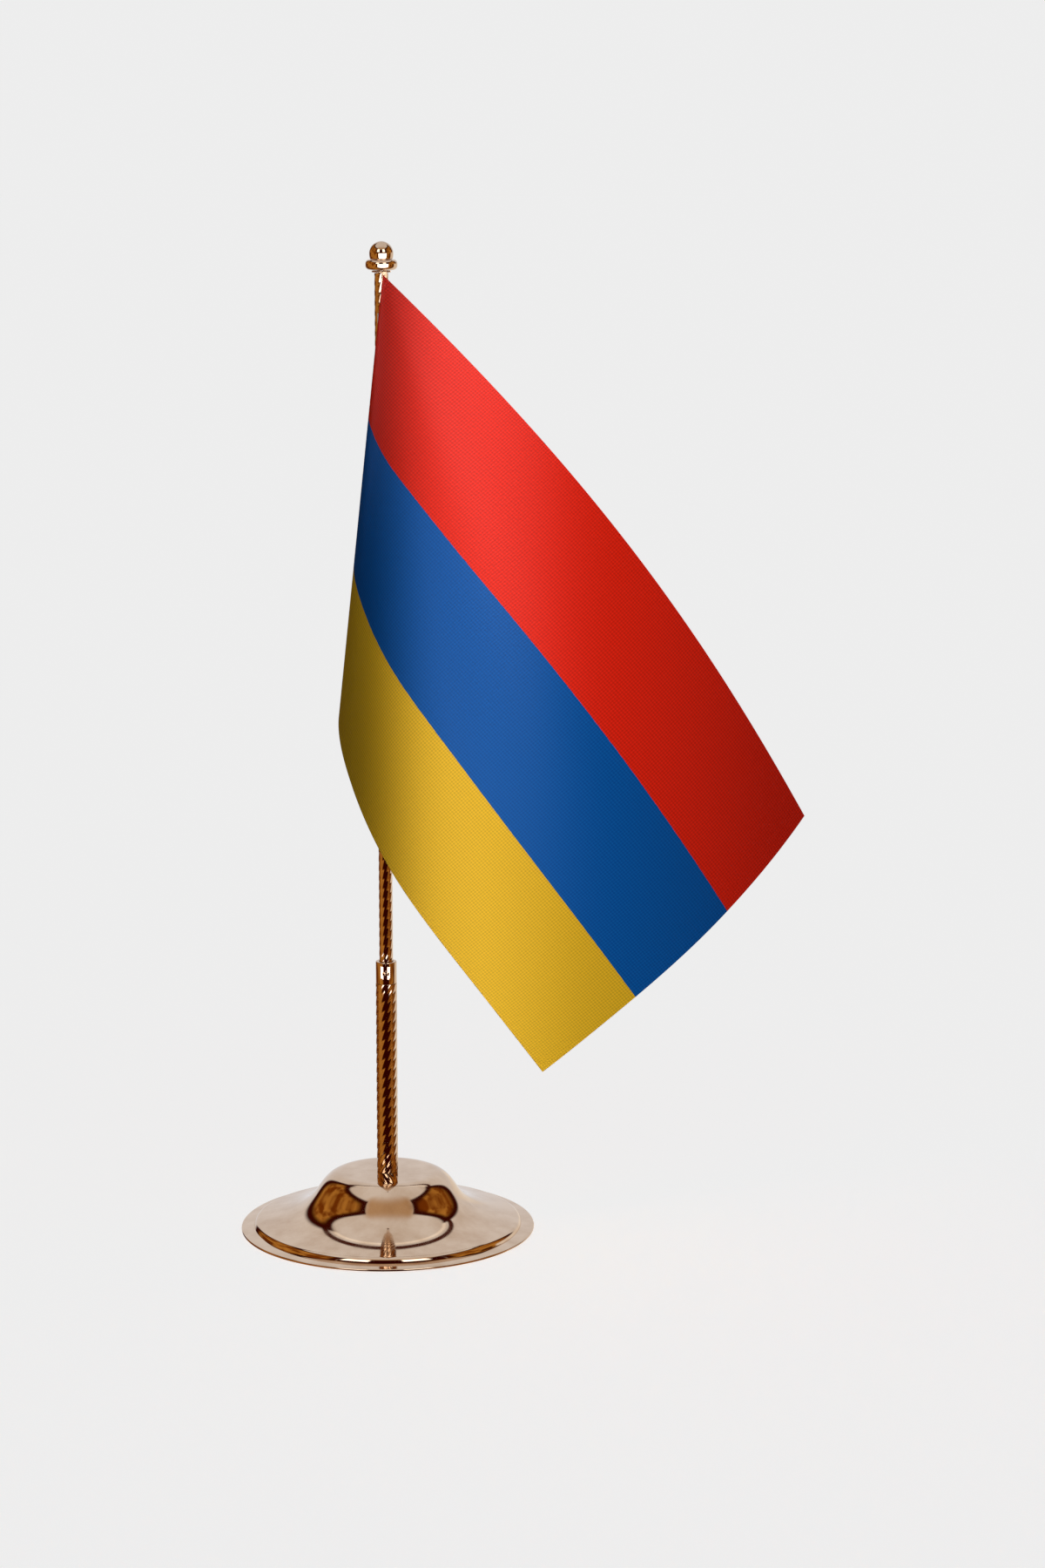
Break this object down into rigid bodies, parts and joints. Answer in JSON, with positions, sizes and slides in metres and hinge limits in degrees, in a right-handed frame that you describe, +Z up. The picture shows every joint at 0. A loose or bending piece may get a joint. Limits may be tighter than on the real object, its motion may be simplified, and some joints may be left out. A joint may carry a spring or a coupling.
{
  "type": "desk flag stand",
  "caption": "Desk flag on a round weighted metal base, with a telescopic spiral-fluted pole, a domed finial and a hanging tricolour cloth flag.",
  "frame": {"origin": "centre of the round base on the surface that the stand rests on", "axes": "+Z up along the pole, +X towards the side that the flag flies to, -Y the front that shows the flag's face"},
  "size_m": [0.1875, 0.1081, 0.3211],
  "materials": {
    "polished_metal": "warm champagne mirror plating",
    "steel": "plain zinc-plated steel",
    "brass": "turned brass",
    "cast_iron": "raw casting",
    "felt": "pressed felt",
    "flag_print": "fine printed satin in three equal stripes, red, blue and golden yellow; the middle stripe's colour is given",
    "ribbon": "woven ribbon",
    "hoist_tape": "woven cotton tape"
  },
  "bodies": {
    "base": {"felt_pad": "felt", "base_plate": "steel", "ballast": "cast_iron", "base_shell": "polished_metal", "foot_screw": "steel", "lock_washer": "steel", "flat_washer": "steel", "foot_plug": "brass", "lower_tube": "polished_metal", "split_ferrule": "polished_metal"},
    "upper_pole": {"upper_tube": "polished_metal", "stop_bush": "brass", "friction_ring": "steel", "top_plug": "brass", "finial_stud": "steel", "finial_flange": "polished_metal", "finial_dome": "polished_metal"},
    "flag": {"flag_cloth": "flag_print", "corner_tab": "ribbon", "hoist_tape": "hoist_tape", "hoist_loop_upper": "hoist_tape", "hoist_loop_lower": "hoist_tape"}
  },
  "joints": [
    {"name": "pole_slide", "type": "slide", "parent": "base", "child": "upper_pole", "axis": [0, 0, 1], "range_m": [-0.0335, 0.006]},
    {"name": "flag_swivel", "type": "hinge", "parent": "upper_pole", "child": "flag", "pos_m": [0, 0, 0.2], "axis": [0, 0, 1], "continuous": true}
  ]
}
